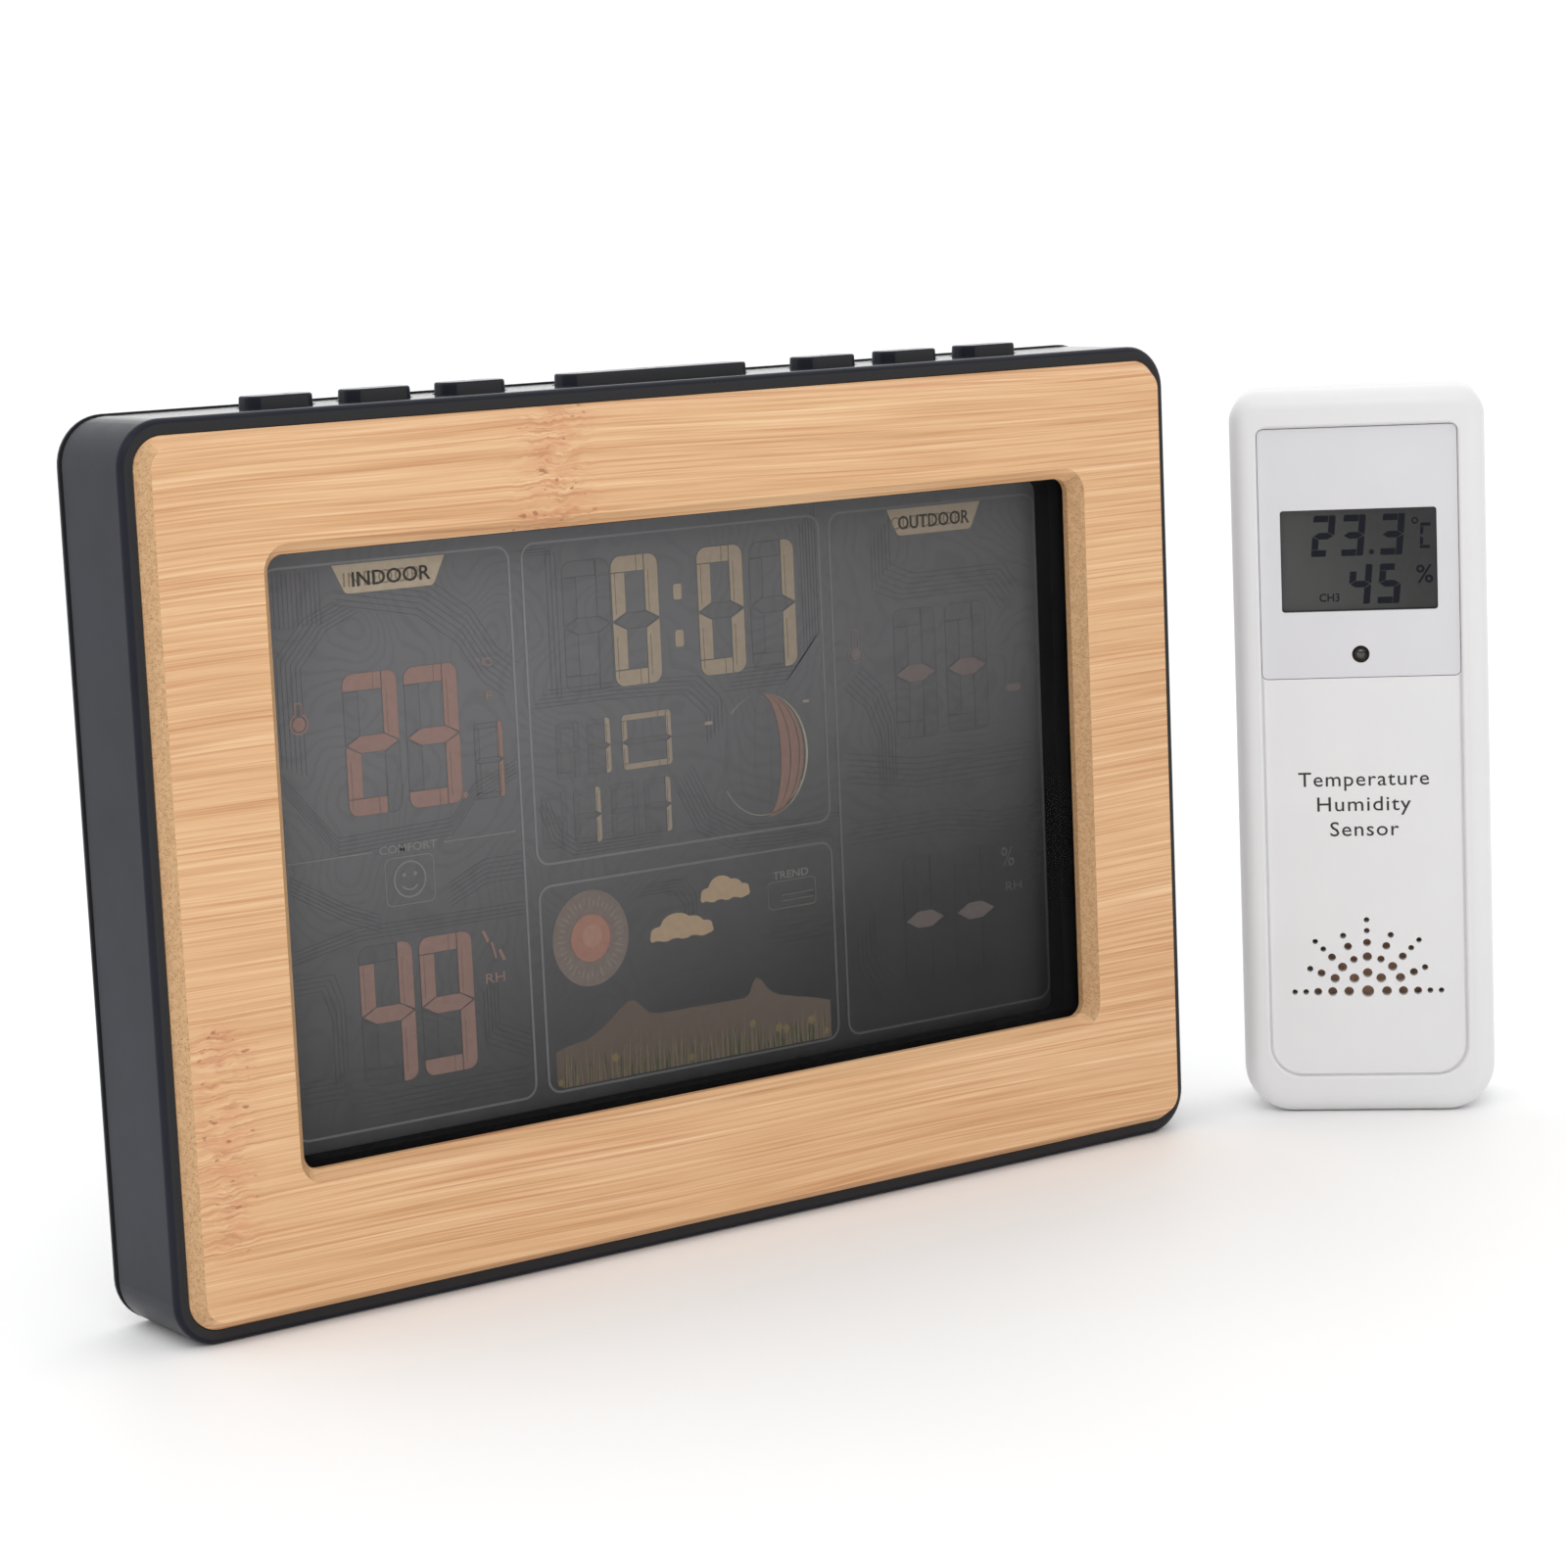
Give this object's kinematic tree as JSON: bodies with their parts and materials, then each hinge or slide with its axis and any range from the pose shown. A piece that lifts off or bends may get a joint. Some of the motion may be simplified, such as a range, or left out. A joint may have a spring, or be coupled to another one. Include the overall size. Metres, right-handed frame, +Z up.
{
  "type": "home weather station",
  "caption": "Home weather station: bamboo-fronted display console with top buttons, rear battery box and fold-out stand, plus its white outdoor temperature and humidity sensor.",
  "frame": {"origin": "on the console's flat base, under its centre; the outdoor sensor stands beside it on the same surface", "axes": "+Z up, console display faces -Y, +X to the right seen from the front"},
  "size_m": [0.2369, 0.0551, 0.1282],
  "materials": {
    "charcoal_case": "fine spark-eroded ABS, satin",
    "bamboo": "side-pressed bamboo, fine straight grain, clear satin lacquer",
    "clear_lens": "clear acrylic window, gloss",
    "lcd_glass": "negative colour liquid crystal panel, satin polariser",
    "black_holder": "black ABS, matt",
    "clear_acrylic": "clear light guide",
    "green_board": "green solder mask",
    "grey_rubber": "conductive silicone",
    "plated_steel": "nickel-plated steel",
    "black_epoxy": "black epoxy",
    "wire_jacket": "insulated wire",
    "cell_jacket": "printed film jacket",
    "white_case": "white ABS, fine satin",
    "white_plate": "white plate, gloss",
    "sensor_glass": "grey-green liquid crystal panel",
    "brown_board": "brown phenolic circuit board",
    "lamp_lens": "smoked lamp dome",
    "probe_cap": "moulded white"
  },
  "bodies": {
    "console": {"front_housing": "charcoal_case", "wood_frame": "bamboo", "display_lens": "clear_lens", "lcd_panel": "lcd_glass", "lcd_holder": "black_holder", "light_guide": "clear_acrylic", "backlight_strip": "green_board", "zebra_strips": "grey_rubber", "holder_screws": "plated_steel", "main_board": "green_board", "board_screws": "plated_steel", "controller_chip": "black_epoxy", "rf_module": "green_board", "antenna_wire": "wire_jacket", "buzzer": "black_epoxy", "indoor_probe": "green_board", "usb_inlet": "plated_steel", "button_board": "green_board", "tact_switches": "black_epoxy", "button_board_screws": "plated_steel", "button_ribbon": "wire_jacket", "back_cover": "charcoal_case", "cover_screws": "plated_steel", "console_batteries": "cell_jacket", "battery_contacts": "plated_steel", "stand_pins": "plated_steel"},
    "button_left_outer": {"button_left_outer": "charcoal_case"},
    "button_left_middle": {"button_left_middle": "charcoal_case"},
    "button_left_inner": {"button_left_inner": "charcoal_case"},
    "button_snooze": {"button_snooze": "charcoal_case"},
    "button_right_inner": {"button_right_inner": "charcoal_case"},
    "button_right_middle": {"button_right_middle": "charcoal_case"},
    "button_right_outer": {"button_right_outer": "charcoal_case"},
    "battery_door": {"battery_door": "charcoal_case"},
    "stand": {"fold_out_stand": "charcoal_case"},
    "sensor": {"sensor_front_shell": "white_case", "sensor_face_plate": "white_plate", "sensor_lcd": "sensor_glass", "sensor_led": "lamp_lens", "sensor_board": "brown_board", "sensor_board_screws": "plated_steel", "sensor_probe": "probe_cap", "sensor_chip": "black_epoxy", "sensor_antenna": "wire_jacket", "sensor_back_shell": "white_case", "sensor_case_screws": "plated_steel", "sensor_batteries": "cell_jacket", "sensor_contacts": "plated_steel", "channel_switch": "black_epoxy", "transmit_switch": "black_epoxy"},
    "sensor_battery_door": {"sensor_battery_door": "white_case"},
    "channel_knob": {"channel_knob": "black_epoxy"},
    "transmit_button": {"transmit_button": "probe_cap"}
  },
  "joints": [
    {"name": "button_left_outer_press", "type": "slide", "parent": "console", "child": "button_left_outer", "axis": [0, 0, -1], "range_m": [0, 0.0007], "stiffness_N_per_m": 1500, "springref_m": -0.0006},
    {"name": "button_left_middle_press", "type": "slide", "parent": "console", "child": "button_left_middle", "axis": [0, 0, -1], "range_m": [0, 0.0007], "stiffness_N_per_m": 1500, "springref_m": -0.0006},
    {"name": "button_left_inner_press", "type": "slide", "parent": "console", "child": "button_left_inner", "axis": [0, 0, -1], "range_m": [0, 0.0007], "stiffness_N_per_m": 1500, "springref_m": -0.0006},
    {"name": "button_snooze_press", "type": "slide", "parent": "console", "child": "button_snooze", "axis": [0, 0, -1], "range_m": [0, 0.0007], "stiffness_N_per_m": 1500, "springref_m": -0.0006},
    {"name": "button_right_inner_press", "type": "slide", "parent": "console", "child": "button_right_inner", "axis": [0, 0, -1], "range_m": [0, 0.0007], "stiffness_N_per_m": 1500, "springref_m": -0.0006},
    {"name": "button_right_middle_press", "type": "slide", "parent": "console", "child": "button_right_middle", "axis": [0, 0, -1], "range_m": [0, 0.0007], "stiffness_N_per_m": 1500, "springref_m": -0.0006},
    {"name": "button_right_outer_press", "type": "slide", "parent": "console", "child": "button_right_outer", "axis": [0, 0, -1], "range_m": [0, 0.0007], "stiffness_N_per_m": 1500, "springref_m": -0.0006},
    {"name": "battery_door_slide", "type": "slide", "parent": "console", "child": "battery_door", "axis": [0, 0, 1], "range_m": [0, 0.04]},
    {"name": "stand_hinge", "type": "hinge", "parent": "console", "child": "stand", "pos_m": [0, 0.01615, 0.0485], "axis": [1, 0, 0], "range_deg": [0, 50]},
    {"name": "sensor_lift", "type": "slide", "parent": "console", "child": "sensor", "axis": [0, 0, 1], "range_m": [0, 0.15]},
    {"name": "sensor_battery_door_slide", "type": "slide", "parent": "sensor", "child": "sensor_battery_door", "axis": [0, 0, -1], "range_m": [0, 0.045]},
    {"name": "channel_slide", "type": "slide", "parent": "sensor", "child": "channel_knob", "axis": [0.723, -0.6909, 0], "range_m": [-0.0032, 0]},
    {"name": "transmit_press", "type": "slide", "parent": "sensor", "child": "transmit_button", "axis": [-0.6909, -0.723, 0], "range_m": [0, 0.0005], "stiffness_N_per_m": 1200, "springref_m": -0.0006}
  ]
}
